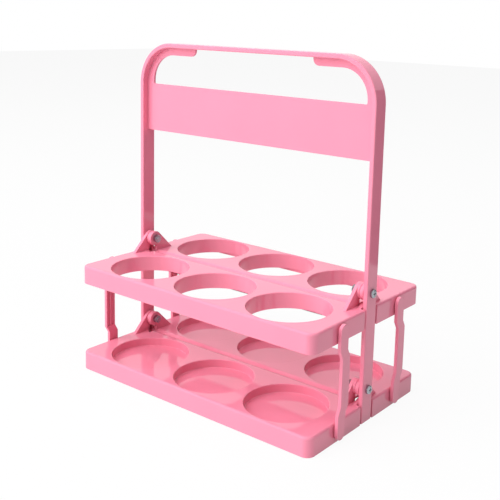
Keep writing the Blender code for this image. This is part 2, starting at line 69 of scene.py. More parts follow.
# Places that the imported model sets
FRAME_LOW, FRAME_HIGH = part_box("handle_frame")
UPPER_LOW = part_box("upper_front_tray")[0]
LINK_LOW, LINK_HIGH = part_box("front_right_link")
REAR_LINK_LOW, REAR_LINK_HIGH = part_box("rear_right_link")
UPPER_SCREW_LOW, UPPER_SCREW_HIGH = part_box("upper_right_screw")
LOWER_SCREW_LOW, LOWER_SCREW_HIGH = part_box("lower_right_screw")
UPPER_NUT_LOW, UPPER_NUT_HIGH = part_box("upper_right_nut")
HALF_LENGTH = FRAME_HIGH.x
HALF_DEPTH = -UPPER_LOW.y
UPPER_PIVOT = (UPPER_SCREW_LOW.z + UPPER_SCREW_HIGH.z) / 2
LOWER_PIVOT = (LOWER_SCREW_LOW.z + LOWER_SCREW_HIGH.z) / 2
TIER_RISE = UPPER_PIVOT - LOWER_PIVOT

# Tolerances and overruns for selecting, welding and cutting
NEAR = 0.00002
WELD = 0.00001
OVERRUN = 0.002
FLAT_ANGLE = math.radians(0.2)

# How far a finished piece may end from the box of the node that it stands for
SLACK = 0.002

# How finely round shapes are divided
BORE_STEPS = 128
ROD_STEPS = 48
FRAME_CORNER_STEPS = 24
TRAY_CORNER_STEPS = 10
EAR_STEPS = 28
LINK_END_STEPS = 24
DOME_STEPS = 8
FILLET_STEPS = 5

# How deep an ear is rooted in the tray's top, as a share of its thickness
ROOT_SHARE = 0.85
# How deep a thread's groove is, as a share of its pitch
GROOVE_SHARE = 0.35

# Sizes of the finishes' patterns in millimetres
FLOW_CLOUD = 70
HAZE_PATCH = 18
SINK_MARK = 22
ORANGE_PEEL = 1.6
PLATING_CLOUD = 2.5
PLATING_GRAIN = 0.3

# Heights of the finishes' bumps in metres, and how strongly each one shows
SINK_HEIGHT, SINK_STRENGTH = 0.0002, 0.35
PEEL_HEIGHT, PEEL_STRENGTH = 0.00002, 0.10
GRAIN_HEIGHT, GRAIN_STRENGTH = 0.00002, 0.15

# Least and greatest roughness: of the plastic as shares of its gloss setting, and of the plating
HAZE_SHARES = (0.8, 1.25)
PLATING_ROUGHNESS = (0.16, 0.34)

# Refraction of polypropylene
POLYPROPYLENE_IOR = 1.49

# The camera's sensor in millimetres, and the nearest that it sees in metres
SENSOR_WIDTH = 36
NEAREST = 0.01

AXES = {"X": Vector((1, 0, 0)), "Y": Vector((0, 1, 0)), "Z": Vector((0, 0, 1))}


def length(name, description, default):
    """Declares a length in metres for a property group."""
    return FloatProperty(name=name, description=description, default=default, min=0, unit="LENGTH",
                         precision=5)


def location(name, description, default):
    """Declares a place in metres for a property group."""
    return FloatVectorProperty(name=name, description=description, default=default, size=3,
                               subtype="TRANSLATION", unit="LENGTH")


def turn_angle(name, description, degrees):
    """Declares an angle for a property group, with its default in degrees."""
    return FloatProperty(name=name, description=description, default=math.radians(degrees), subtype="ANGLE")


def share(name, description, default):
    """Declares a share between nothing and all for a property group."""
    return FloatProperty(name=name, description=description, default=default, min=0, max=1,
                         subtype="FACTOR")


def power(name, description, default):
    """Declares a lamp's power in watts for a property group."""
    return FloatProperty(name=name, description=description, default=default, min=0, unit="POWER")


def strength(name, description, default):
    """Declares a strength of light for a property group. One is white."""
    return FloatProperty(name=name, description=description, default=default, min=0)


def tint(name, description, default):
    """Declares an sRGB hex colour for a property group."""
    return StringProperty(name=name, description=description + ", sRGB hex", default=default)


class FrameSizes(bpy.types.PropertyGroup):
    """Sizes of the handle frame."""
    thickness: length("Band thickness", "Thickness of the band that makes the legs and the bar", 0.0048)
    corner: length("Corner radius", "Outer radius of the two top corners", 0.044)
    overhang: length("Band overhang", "How far the band stands out before and behind the solid's", 0.0007)
    edge: length("Band edge", "Rounding along the band's front and rear edges", 0.0011)
    panel: length("Panel thickness", "Thickness of the panel and the web", 0.0026)
    panel_height: length("Panel height", "Height of the panel between the legs", 0.051)
    hand_room: length("Hand room", "Height of the hand opening below the bar", 0.0395)
    side_web: length("Side web", "Width of the web along each leg in the hand opening", 0.0092)
    top_web: length("Top web", "Height of the web below the bar", 0.008)
    window_corner: length("Window corner", "Radius of the hand opening's top corners", 0.028)
    window_foot: length("Window foot", "Radius where the hand opening meets the panel", 0.0015)
    grip: length("Grip", "Length of the bar that has no web below it", 0.15)
    grip_end: length("Grip end", "Radius at each end of the web below the bar", 0.0065)
    soft: length("Soft edge", "Rounding left on the panel's edges by the mould", 0.0004)


class TraySizes(bpy.types.PropertyGroup):
    """Sizes of the four half trays."""
    bore: length("Hole radius", "Radius of a bottle hole", 0.0405)
    pitch: length("Hole pitch", "Distance between two holes in a row", 0.0913)
    row: length("Hole row", "Distance from the fold line to the middle of the holes", 0.0491)
    height: length("Tray height", "Height of the skirt", 0.0193)
    skirt: length("Skirt wall", "Wall of the skirt round a tray", 0.0024)
    plate: length("Top plate", "Thickness of a tray's top", 0.0025)
    collar: length("Collar wall", "Wall of the collar round a hole", 0.002)
    collar_lift: length("Collar lift", "How far the upper collars end above the skirt", 0.003)
    recess: length("Recess depth", "Depth of the lower tray's round recesses", 0.009)
    cup: length("Cup floor", "Thickness of the floor under a recess", 0.002)
    corner: length("Corner radius", "Radius of a tray's upright corners", 0.0085)
    top_edge: length("Top edge", "Rounding along a tray's top edge", 0.0024)
    seam_edge: length("Seam edge", "Rounding along the fold line", 0.0048)
    rim: length("Hole rim", "Rounding of a hole's rim", 0.0009)
    floor_fillet: length("Floor fillet", "Rounding between a recess's floor and its wall", 0.001)
    seam: length("Seam", "Gap between the two halves of a tier", 0.0008)
    soft: length("Soft edge", "Rounding left on the small edges by the mould", 0.0004)


class HingeSizes(bpy.types.PropertyGroup):
    """Sizes of the ears that carry the half trays on the pivot screws."""
    ear: length("Ear radius", "Radius of an ear about its pivot", 0.008)
    gap: length("Ear gap", "Room between an ear's circle and the other half's top", 0.0056)
    outer: length("Outer ear", "Thickness of the ear against the leg", 0.004)
    inner: length("Inner ear", "Thickness of the ear under the nut", 0.0037)
    neck: length("Ear neck", "How far an ear's upright edge stays back from the fold line", 0.0016)
    setback: length("Ear setback", "How far the outer ear's root stays back from the fold line", 0.005)
    boss: length("Boss", "Length of the boss on the inner ear", 0.0025)
    side: length("Side clearance", "Clearance beside the ears", 0.0004)
    wedge_reach: length("Wedge reach", "Length of the low wedge below the other half's ear", 0.0115)
    wedge_rise: length("Wedge rise", "Height of that wedge at the fold line", 0.0033)
    slot_reach: length("Slot reach", "Length of the slot below the other half's boss", 0.009)
    slot_corner: length("Slot corner", "Corner cut off the slot", 0.0044)
    slot_depth: length("Slot depth", "Depth of that slot from the top", 0.008)
    notch: length("Notch clearance", "Clearance of a tray's notch round the leg", 0.0028)
    hole: length("Screw hole", "Radius of the hole for a screw", 0.0028)
    edge: length("Ear edge", "Rounding of an ear's edges", 0.0005)


class LinkSizes(bpy.types.PropertyGroup):
    """Sizes of the four links between the tiers."""
    width: length("Link width", "Width of a link", 0.012)
    thickness: length("Link thickness", "Thickness of a link", 0.0036)
    offset: length("Link offset", "How far a link's middle stands aside from its pins", 0.004)
    end: length("Link end", "How far a link reaches past a pin", 0.0074)
    jog_start: length("Jog start", "Where the link starts to step aside, from a pin", 0.017)
    jog: length("Jog", "Length of that step", 0.007)
    skin: length("Link skin", "Thickness left behind the two long pockets", 0.0014)
    flange: length("Link flange", "Width of the flanges beside the pockets", 0.0018)
    rib: length("Link rib", "Width of the rib between the pockets", 0.0014)
    edge: length("Link edge", "Rounding of a link's outer edges", 0.0009)
    pin: length("Pin radius", "Radius of a pin in the tray", 0.0027)
    pin_height: length("Pin height", "Height of a pin above the tray's bottom", 0.0106)
    head: length("Pin head", "Radius of a pin's snap head", 0.0036)
    head_length: length("Pin head length", "Length of a pin's snap head", 0.0018)
    shoulder: length("Pin shoulder", "Radius of the shoulder against the tray", 0.0045)
    clearance: length("Link clearance", "Clearance between a link and the tray's end", 0.0012)
    running: length("Running clearance", "Clearance round a pin", 0.0003)


class FastenerSizes(bpy.types.PropertyGroup):
    """Sizes of the pivot screws and nuts."""
    shank: length("Shank radius", "Radius of a screw's shank", 0.0025)
    head: length("Head radius", "Radius of a screw's head", 0.0042)
    head_height: length("Head height", "Height of a screw's head", 0.0026)
    head_edge: length("Head edge", "Rounding of a screw's head", 0.0012)
    recess: length("Cross recess", "Reach of the cross recess from the middle", 0.0025)
    recess_wall: length("Recess width", "Width of one slot of the cross recess", 0.00085)
    recess_depth: length("Recess depth", "Depth of the cross recess", 0.0013)
    thread: length("Thread pitch", "Distance from one thread to the next", 0.0008)
    flats: length("Nut flats", "Width of a nut across its flats", 0.008)
    chamfer: length("Nut chamfer", "Height of the chamfer on a nut's corners", 0.0005)


class FinishSettings(bpy.types.PropertyGroup):
    """Colours and gloss of the two finishes."""
    pink: tint("Pink", "Colour of the moulded polypropylene", "F18EA7")
    pink_deep: tint("Deep pink", "Deepest tint of the flow clouds", "EC88A1")
    zinc: tint("Zinc", "Colour of the zinc plating", "B2B7BC")
    zinc_dull: tint("Dull zinc", "Colour of the plating's cloudy patches", "949AA1")
    gloss: share("Gloss roughness", "Roughness of the polished plastic", 0.05)


class StageSettings(bpy.types.PropertyGroup):
    """The camera, the lamps, the surroundings and the floor."""
    place: location("Camera place", "Where the camera stands", (0.53351, -0.64753, 0.37763))
    yaw: turn_angle("Yaw", "Turn of the camera from the +Y direction", 37.058)
    pitch: turn_angle("Pitch", "Tilt of the camera from the level", -10.150)
    roll: turn_angle("Roll", "Turn of the camera about its line of sight", 1.663)
    lens: FloatProperty(name="Lens", description="Focal length in millimetres on a 36 mm sensor",
                        default=60.760, min=1)
    shift: FloatVectorProperty(name="Shift", description="Shift of the picture on the sensor", size=2,
                               default=(-0.0697, -0.1659))
    key: power("Key", "Power of the large lamp at the front left", 152.0)
    key_place: location("Key place", "Where the front lamp hangs", (-1.35, -2.3, 1.9))
    key_size: length("Key size", "Width of the front lamp", 4.0)
    top: power("Top", "Power of the lamp overhead", 46.0)
    top_place: location("Top place", "Where the overhead lamp hangs", (0.0, -0.3, 2.4))
    top_size: length("Top size", "Width of the overhead lamp", 2.5)
    fill: strength("Fill", "Strength of the even light from all round", 0.2)
    backdrop: strength("Backdrop", "Brightness of the white surroundings to the eye and the gloss", 1.0)
    card_place: location("Card place", "Middle of the dark card's foot", (0.42, 0.45, 0.0))
    card_size: length("Card size", "Width and height of the dark card that only the gloss sees", 0.44)
    floor_size: length("Floor size", "Width of the floor", 12.0)
    floor_white: share("Floor white", "Share of the light that the paper floor returns", 0.8)
    floor_glow: strength("Floor glow", "How white the floor is in its deepest shadow", 0.93)
    floor_shade: share("Floor shade", "How much the shadows show on the floor", 0.05)


def deselect_all():
    """Leaves edit mode and deselects every object."""
    if bpy.context.mode != "OBJECT":
        bpy.ops.object.mode_set(mode="OBJECT")
    bpy.ops.object.select_all(action="DESELECT")


def hold(piece):
    """Makes a piece the only one selected, and active."""
    deselect_all()
    piece.select_set(True)
    bpy.context.view_layer.objects.active = piece


def settle(name):
    """Names the new primitive and puts its place into its mesh."""
    piece = bpy.context.object
    piece.name = name
    piece.data.name = name
    bpy.ops.object.transform_apply(location=True, rotation=True, scale=True)
    return piece


def open_mesh(piece):
    """Opens a piece in edit mode with nothing selected."""
    hold(piece)
    bpy.ops.object.mode_set(mode="EDIT")
    bpy.ops.mesh.select_all(action="DESELECT")


def close_mesh():
    """Goes back to object mode."""
    bpy.ops.object.mode_set(mode="OBJECT")


def pick(piece, kind, wanted, spared=None):
    """Selects the edges or faces whose corners all pass a test, apart from those that pass the other."""
    bpy.ops.mesh.select_mode(type=kind)
    bpy.ops.mesh.select_all(action="DESELECT")
    shape = bmesh.from_edit_mesh(piece.data)
    found = 0
    for part in {"VERT": shape.verts, "EDGE": shape.edges, "FACE": shape.faces}[kind]:
        corners = [part.co] if kind == "VERT" else [corner.co for corner in part.verts]
        if all(wanted(place) for place in corners):
            if spared is None or not all(spared(place) for place in corners):
                part.select_set(True)
                found += 1
    bmesh.update_edit_mesh(piece.data)
    if not found:
        raise RuntimeError(f"Nothing to select on {piece.name}")


def round_off(piece, wanted, radius, steps, spared=None):
    """Rounds the edges that pass a test."""
    open_mesh(piece)
    pick(piece, "EDGE", wanted, spared)
    bpy.ops.mesh.bevel(offset=radius, offset_type="OFFSET", segments=steps, profile=0.5,
                       affect="EDGES", clamp_overlap=True)
    close_mesh()


def add_block(name, low, high):
    """Adds a block between two corners."""
    deselect_all()
    low, high = Vector(low), Vector(high)
    bpy.ops.mesh.primitive_cube_add(size=1, location=(low + high) / 2, scale=high - low)
    return settle(name)


def add_rod(name, radius, start, end, steps=ROD_STEPS):
    """Adds a round rod from the middle of one end to the middle of the other."""
    deselect_all()
    along = Vector(end) - Vector(start)
    bpy.ops.mesh.primitive_cylinder_add(vertices=steps, radius=radius, depth=along.length,
                                        location=(Vector(start) + Vector(end)) / 2,
                                        rotation=along.to_track_quat("Z", "Y").to_euler())
    return settle(name)


def arc(centre, radius, start, end, steps):
    """Lists the points of an arc between two angles in degrees."""
    points = []
    for step in range(steps + 1):
        angle = math.radians(start + (end - start) * step / steps)
        points.append((centre[0] + radius * math.cos(angle), centre[1] + radius * math.sin(angle)))
    return points


def draw_line(name, places):
    """Draws a line through places by extruding one point again and again."""
    deselect_all()
    bpy.ops.mesh.primitive_plane_add(size=WELD, location=places[0])
    piece = settle(name)
    open_mesh(piece)
    bpy.ops.mesh.select_mode(type="VERT")
    bpy.ops.mesh.select_all(action="SELECT")
    bpy.ops.mesh.merge(type="CENTER")
    for before, after in zip(places, places[1:]):
        step = Vector(after) - Vector(before)
        bpy.ops.mesh.extrude_region_move(TRANSFORM_OT_translate={"value": step})
    return piece


def face_outwards():
    """Merges doubles and turns all faces of the open mesh outwards."""
    bpy.ops.mesh.select_all(action="SELECT")
    bpy.ops.mesh.remove_doubles(threshold=WELD)
    bpy.ops.mesh.normals_make_consistent(inside=False)
    close_mesh()


def add_prism(name, outline, axis, low, high):
    """Draws a closed outline across an axis, fills it and extrudes it from low to high."""
    lift = {"X": lambda p: (low, p[0], p[1]), "Y": lambda p: (p[0], low, p[1]),
            "Z": lambda p: (p[0], p[1], low)}[axis]
    piece = draw_line(name, [lift(point) for point in outline])
    ends = (Vector(lift(outline[0])), Vector(lift(outline[-1])))
    pick(piece, "VERT", lambda place: min((place - end).length for end in ends) < NEAR)
    bpy.ops.mesh.edge_face_add()
    bpy.ops.mesh.select_all(action="SELECT")
    bpy.ops.mesh.edge_face_add()
    bpy.ops.mesh.extrude_region_move(TRANSFORM_OT_translate={"value": AXES[axis] * (high - low)})
    face_outwards()
    return piece


def add_turned(name, profile, steps, centre, axis="Z"):
    """Spins a profile of radii and heights round an upright or lengthwise axis."""
    centre = Vector(centre)
    lift = {"Z": lambda p: centre + Vector((p[0], 0, p[1])),
            "X": lambda p: centre + Vector((p[1], p[0], 0))}[axis]
    piece = draw_line(name, [lift(point) for point in profile])
    bpy.ops.mesh.select_all(action="SELECT")
    bpy.ops.mesh.spin(steps=steps, angle=2 * math.pi, center=centre, axis=AXES[axis])
    face_outwards()
    return piece


def combine(piece, tool, operation):
    """Cuts a piece with a tool, joins them or keeps their overlap. The tool is used up."""
    hold(piece)
    modifier = piece.modifiers.new("combine", "BOOLEAN")
    modifier.operation = operation
    modifier.solver = "EXACT"
    modifier.object = tool
    bpy.ops.object.modifier_apply(modifier=modifier.name)
    bpy.data.objects.remove(tool, do_unlink=True)
    if not piece.data.polygons:
        raise RuntimeError(f"Nothing is left of {piece.name}")


def group(pieces):
    """Puts several pieces that don't touch into one object."""
    deselect_all()
    for piece in pieces:
        piece.select_set(True)
    bpy.context.view_layer.objects.active = pieces[0]
    bpy.ops.object.join()
    return bpy.context.object


def clean_up(piece):
    """Merges the slivers that cuts leave and dissolves needless edges on flat faces."""
    open_mesh(piece)
    bpy.ops.mesh.select_all(action="SELECT")
    bpy.ops.mesh.remove_doubles(threshold=NEAR)
    bpy.ops.mesh.dissolve_limited(angle_limit=FLAT_ANGLE, delimit={"NORMAL"})
    close_mesh()


def soften(piece, width, angle=35, steps=2):
    """Rounds every edge that is still sharp."""
    hold(piece)
    modifier = piece.modifiers.new("soften", "BEVEL")
    modifier.width = width
    modifier.segments = steps
    modifier.limit_method = "ANGLE"
    modifier.angle_limit = math.radians(angle)
    modifier.use_clamp_overlap = False
    modifier.miter_outer = "MITER_ARC"
    bpy.ops.object.modifier_apply(modifier=modifier.name)


def shade(piece, angle=30):
    """Shades smooth over edges flatter than an angle, with the large faces kept flat."""
    hold(piece)
    bpy.ops.object.shade_smooth_by_angle(angle=math.radians(angle))
    modifier = piece.modifiers.new("even", "WEIGHTED_NORMAL")
    modifier.keep_sharp = True
    modifier.weight = 100
    bpy.ops.object.modifier_apply(modifier=modifier.name)


def duplicate(piece, name, turn=0.0, shift=(0, 0, 0)):
    """Copies a piece with its own mesh, turned about the upright axis and moved."""
    hold(piece)
    bpy.ops.object.duplicate(linked=False)
    twin = bpy.context.object
    twin.name = name
    twin.data.name = name
    open_mesh(twin)
    bpy.ops.mesh.select_all(action="SELECT")
    if turn:
        bpy.ops.transform.rotate(value=turn, orient_axis="Z", center_override=(0, 0, 0))
    bpy.ops.transform.translate(value=shift)
    close_mesh()
    return twin


def take_place(piece, node, body, material):
    """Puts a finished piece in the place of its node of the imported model.

    A piece that doesn't reach as far as its node has lost a part in a cut, and raises an error.
    """
    low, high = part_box(node)
    for axis in range(3):
        reach = [vertex.co[axis] for vertex in piece.data.vertices]
        if max(abs(min(reach) - low[axis]), abs(max(reach) - high[axis])) > SLACK:
            raise RuntimeError(f"{piece.name} doesn't fill the place of {node}")
    piece.data.materials.clear()
    piece.data.materials.append(material)
    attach(piece, body)
    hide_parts(node)


def linear(colour):
    """Turns an sRGB hex colour to linear, with full cover."""
    parts = [part / 255 for part in bytes.fromhex(colour)]
    return (*(part / 12.92 if part <= 0.04045 else ((part + 0.055) / 1.055) ** 2.4 for part in parts), 1.0)


def add_node(tree, kind, settings=None, **inputs):
    """Adds a node with its settings, values and links. An input that is a socket is linked."""
    node = tree.nodes.new(kind)
    for key, value in (settings or {}).items():
        setattr(node, key, value)
    for key, value in inputs.items():
        socket = node.inputs[int(key[1:])] if key[1:].isdigit() else node.inputs[key.replace("_", " ")]
        if isinstance(value, bpy.types.NodeSocket):
            tree.links.new(value, socket)
        else:
            socket.default_value = value
    return node


def new_material(name):
    """Makes a material, or finds the one made before, with an empty node tree."""
    material = bpy.data.materials.get(name) or bpy.data.materials.new(name)
    material.use_nodes = True
    material.node_tree.nodes.clear()
    return material, material.node_tree


def per_millimetre(size):
    """Gives the texture scale whose pattern repeats about every so many millimetres."""
    return 1000.0 / size


def moulded_polypropylene(finish):
    """Glossy injection moulded polypropylene from a polished mould.

    The eye sees a deep even pink with mirror-like reflections that waver a little, because the
    surface sinks slightly between ribs, and barely visible clouds where the melt flowed.
    """
    material, tree = new_material("injection_moulded_polypropylene")
    place = add_node(tree, "ShaderNodeTexCoord").outputs["Object"]
    clouds = add_node(tree, "ShaderNodeTexNoise", Vector=place, Scale=per_millimetre(FLOW_CLOUD),
                      Detail=3.0)
    colour = add_node(tree, "ShaderNodeMix", {"data_type": "RGBA"}, _0=clouds.outputs["Fac"],
                      _6=linear(finish.pink), _7=linear(finish.pink_deep))
    haze = add_node(tree, "ShaderNodeTexNoise", Vector=place, Scale=per_millimetre(HAZE_PATCH), Detail=4.0)
    least, greatest = (finish.gloss * part for part in HAZE_SHARES)
    rough = add_node(tree, "ShaderNodeMapRange", Value=haze.outputs["Fac"], To_Min=least, To_Max=greatest)
    sink = add_node(tree, "ShaderNodeTexNoise", Vector=place, Scale=per_millimetre(SINK_MARK), Detail=1.0)
    peel = add_node(tree, "ShaderNodeTexNoise", Vector=place, Scale=per_millimetre(ORANGE_PEEL), Detail=2.0)
    ripple = add_node(tree, "ShaderNodeBump", Strength=SINK_STRENGTH, Distance=SINK_HEIGHT,
                      Height=sink.outputs["Fac"])
    bump = add_node(tree, "ShaderNodeBump", Strength=PEEL_STRENGTH, Distance=PEEL_HEIGHT,
                    Height=peel.outputs["Fac"], Normal=ripple.outputs["Normal"])
    shader = add_node(tree, "ShaderNodeBsdfPrincipled", Base_Color=colour.outputs[2],
                      Roughness=rough.outputs["Result"], IOR=POLYPROPYLENE_IOR,
                      Normal=bump.outputs["Normal"])
    add_node(tree, "ShaderNodeOutputMaterial", Surface=shader.outputs["BSDF"])
    return material


def zinc_plated_steel(finish):
    """Zinc plated steel, bright and slightly cloudy.

    The eye sees a light blue-grey metal whose plating is a little rougher in patches.
    """
    material, tree = new_material("zinc_plated_steel")
    place = add_node(tree, "ShaderNodeTexCoord").outputs["Object"]
    patches = add_node(tree, "ShaderNodeTexNoise", Vector=place, Scale=per_millimetre(PLATING_CLOUD),
                       Detail=4.0)
    colour = add_node(tree, "ShaderNodeMix", {"data_type": "RGBA"}, _0=patches.outputs["Fac"],
                      _6=linear(finish.zinc), _7=linear(finish.zinc_dull))
    least, greatest = PLATING_ROUGHNESS
    rough = add_node(tree, "ShaderNodeMapRange", Value=patches.outputs["Fac"], To_Min=least,
                     To_Max=greatest)
    grain = add_node(tree, "ShaderNodeTexNoise", Vector=place, Scale=per_millimetre(PLATING_GRAIN),
                     Detail=2.0)
    bump = add_node(tree, "ShaderNodeBump", Strength=GRAIN_STRENGTH, Distance=GRAIN_HEIGHT,
                    Height=grain.outputs["Fac"])
    shader = add_node(tree, "ShaderNodeBsdfPrincipled", Base_Color=colour.outputs[2], Metallic=1.0,
                      Roughness=rough.outputs["Result"], Normal=bump.outputs["Normal"])
    add_node(tree, "ShaderNodeOutputMaterial", Surface=shader.outputs["BSDF"])
    return material


def frame_band(sizes):
    """Models the band: a block with round top corners, hollowed to two legs and the bar."""
    depth = FRAME_HIGH.y + sizes.overhang
    band = add_block("handle_frame", (-HALF_LENGTH, -depth, FRAME_LOW.z),
                     (HALF_LENGTH, depth, FRAME_HIGH.z))
    room_low = (-HALF_LENGTH + sizes.thickness, -depth - OVERRUN, FRAME_LOW.z - OVERRUN)
    room_high = (HALF_LENGTH - sizes.thickness, depth + OVERRUN, FRAME_HIGH.z - sizes.thickness)
    room = add_block("frame_room", room_low, room_high)
    for shape, radius, top in ((band, sizes.corner, FRAME_HIGH.z),
                               (room, sizes.corner - sizes.thickness, room_high[2])):
        for side in (-1, 1):
            round_off(shape, lambda p: p.z > top - NEAR and p.x * side > HALF_LENGTH / 2, radius,
                      FRAME_CORNER_STEPS)
    combine(band, room, "DIFFERENCE")
    soften(band, sizes.edge, angle=60, steps=4)
    return band


def frame_web(sizes):
    """Models the thin panel and the web that runs from it round the hand opening to the grip."""
    inset = sizes.thickness / 2
    half = sizes.panel / 2
    edge = HALF_LENGTH - inset
    top = FRAME_HIGH.z - inset
    panel_top = FRAME_HIGH.z - sizes.thickness - sizes.hand_room
    web = add_block("frame_web", (-edge, -half, panel_top - sizes.panel_height), (edge, half, top))
    window_side = HALF_LENGTH - sizes.thickness - sizes.side_web
    window_top = FRAME_HIGH.z - sizes.thickness - sizes.top_web
    window = add_block("window", (-window_side, -OVERRUN, panel_top), (window_side, OVERRUN, window_top))
    for side in (-1, 1):
        round_off(web, lambda p: p.z > top - NEAR and p.x * side > HALF_LENGTH / 2, sizes.corner - inset,
                  FRAME_CORNER_STEPS)
        round_off(window, lambda p: p.z > window_top - NEAR and p.x * side > HALF_LENGTH / 2,
                  sizes.window_corner, FRAME_CORNER_STEPS)
        round_off(window, lambda p: p.z < panel_top + NEAR and p.x * side > HALF_LENGTH / 2,
                  sizes.window_foot, FILLET_STEPS)
    combine(web, window, "DIFFERENCE")
    grip = sizes.grip / 2
    room = add_block("grip_room", (-grip, -OVERRUN, window_top - OVERRUN), (grip, OVERRUN, top + OVERRUN))
    combine(web, room, "DIFFERENCE")
    for side in (-1, 1):
        corner = Vector((side * grip, 0, window_top))
        round_off(web, lambda p: (Vector((p.x, 0, p.z)) - corner).length < NEAR, sizes.grip_end,
                  FILLET_STEPS * 2)
    soften(web, sizes.soft, angle=50, steps=2)
    return web


def handle_frame(sizes, hinge):
    """Models the whole frame, one moulding."""
    band = frame_band(sizes)
    combine(band, frame_web(sizes), "UNION")
    holes = []
    for level in (LOWER_PIVOT, UPPER_PIVOT):
        for side in (-1, 1):
            start = (side * (HALF_LENGTH - sizes.thickness - OVERRUN), 0, level)
            holes.append(add_rod("hole", hinge.hole, start, (side * (HALF_LENGTH + OVERRUN), 0, level)))
    combine(band, group(holes), "DIFFERENCE")
    shade(band)
    return band


def tray_block(sizes, top, bottom):
    """Models the outer block of a front half tray with its rounded corners and edges."""
    seam = -sizes.seam / 2
    block = add_block("half_tray", (-HALF_LENGTH, -HALF_DEPTH, bottom), (HALF_LENGTH, OVERRUN, top))
    for side in (-1, 1):
        round_off(block, lambda p: p.y < -HALF_DEPTH + NEAR and p.x * side > 0, sizes.corner,
                  TRAY_CORNER_STEPS)
    round_off(block, lambda p: p.z > top - NEAR, sizes.top_edge, FILLET_STEPS,
              spared=lambda p: p.y > OVERRUN - NEAR)
    above, below, front = top + OVERRUN, bottom - OVERRUN, -HALF_DEPTH - OVERRUN
    middle = (seam - sizes.seam_edge, top - sizes.seam_edge)
    outline = [(front, above), (front, below), (seam, below)]
    outline += arc(middle, sizes.seam_edge, 0, 90, FILLET_STEPS * 2) + [(middle[0], above)]
    side = add_prism("seam_side", outline, "X", -HALF_LENGTH - OVERRUN, HALF_LENGTH + OVERRUN)
    combine(block, side, "INTERSECT")
    return block


def tray_cavity(sizes, top, bottom):
    """Models the tool that hollows a half tray from below."""
    seam = -sizes.seam / 2 - sizes.skirt
    front = -HALF_DEPTH + sizes.skirt
    end = HALF_LENGTH - sizes.skirt
    cavity = add_block("cavity", (-end, front, bottom - OVERRUN), (end, seam, top - sizes.plate))
    for side in (-1, 1):
        round_off(cavity, lambda p: p.y < front + NEAR and p.x * side > 0, sizes.corner - sizes.skirt,
                  TRAY_CORNER_STEPS)
    return cavity


def hole_places(sizes):
    """Lists where the three holes of a row are."""
    return [(step * sizes.pitch, -sizes.row, 0) for step in (-1, 0, 1)]


def tray_collars(sizes, top, collar_bottom):
    """Models the three collars as solid rods, before their bores are cut."""
    rods = []
    for across, back, _ in hole_places(sizes):
        start = (across, back, collar_bottom)
        rods.append(add_rod("collar", sizes.bore + sizes.collar, start,
                            (across, back, top - sizes.plate / 2), BORE_STEPS))
    return group(rods)


def notch_pads(sizes, hinge, top, bottom, ear_face):
    """Models the walls round the two leg notches as blocks, before the notches are cut."""
    pads = []
    depth = FRAME_HIGH.y + hinge.notch + sizes.skirt
    for side in (-1, 1):
        ends = sorted((side * (ear_face - sizes.skirt), side * (HALF_LENGTH - sizes.skirt / 2)))
        pads.append(add_block("pad", (ends[0], -depth, bottom),
                              (ends[1], -(sizes.seam + sizes.skirt) / 2, top - sizes.plate * ROOT_SHARE)))
    return group(pads)


def ear_outline(sizes, hinge, top, pivot, setback):
    """Draws an ear: round about the pivot, slanting down at 45 degrees to its outer foot."""
    root = top - sizes.plate * ROOT_SHARE
    start = -math.degrees(math.acos(-hinge.neck / hinge.ear))
    foot = -(hinge.ear * math.sqrt(2) + pivot - root)
    return [(-setback, root)] + arc((0, pivot), hinge.ear, start, 135, EAR_STEPS) + [(foot, root)]


def wedge_outline(sizes, hinge, top):
    """Draws the low wedge that rises towards the fold line."""
    root = top - sizes.plate * ROOT_SHARE
    outline = [(-hinge.neck, root), (-hinge.neck, top + hinge.wedge_rise)]
    return outline + [(-hinge.wedge_reach, top), (-hinge.wedge_reach, root)]


def tray_ears(sizes, hinge, top, pivot, faces):
    """Models the outer ear at the left leg and the wedge, inner ear and boss at the right."""
    outline = ear_outline(sizes, hinge, top, pivot, hinge.setback)
    outer = add_prism("ear", outline, "X", -faces["ear"], -faces["ear"] + hinge.outer)
    outline = ear_outline(sizes, hinge, top, pivot, hinge.neck)
    inner = add_prism("ear", outline, "X", faces["inner"] - hinge.inner, faces["inner"])
    outline = wedge_outline(sizes, hinge, top)
    wedge = add_prism("wedge", outline, "X", faces["ear"] - hinge.outer, faces["ear"])
    start = (faces["inner"] - hinge.inner / 2, 0, pivot)
    boss = add_rod("boss", hinge.ear - hinge.edge / 2, start, (faces["boss"], 0, pivot))
    for part in (outer, inner, wedge, boss):
        soften(part, hinge.edge, angle=40, steps=3)
    combine(inner, boss, "UNION")
    return group([outer, inner, wedge])


def tray_bores(sizes, top, bottom, floor):
    """Spins the tools that cut the bottle holes, with their rims and the recess floors."""
    reach = sizes.bore + sizes.rim
    above = top + OVERRUN
    profile = [(0, above), (reach, above)] + arc((reach, top - sizes.rim), sizes.rim, 90, 180, FILLET_STEPS)
    if floor is None:
        profile += [(sizes.bore, bottom - OVERRUN), (0, bottom - OVERRUN)]
    else:
        middle = (sizes.bore - sizes.floor_fillet, floor + sizes.floor_fillet)
        profile += arc(middle, sizes.floor_fillet, 0, -90, FILLET_STEPS) + [(0, floor)]
    return group([add_turned("bore", profile, BORE_STEPS, place) for place in hole_places(sizes)])


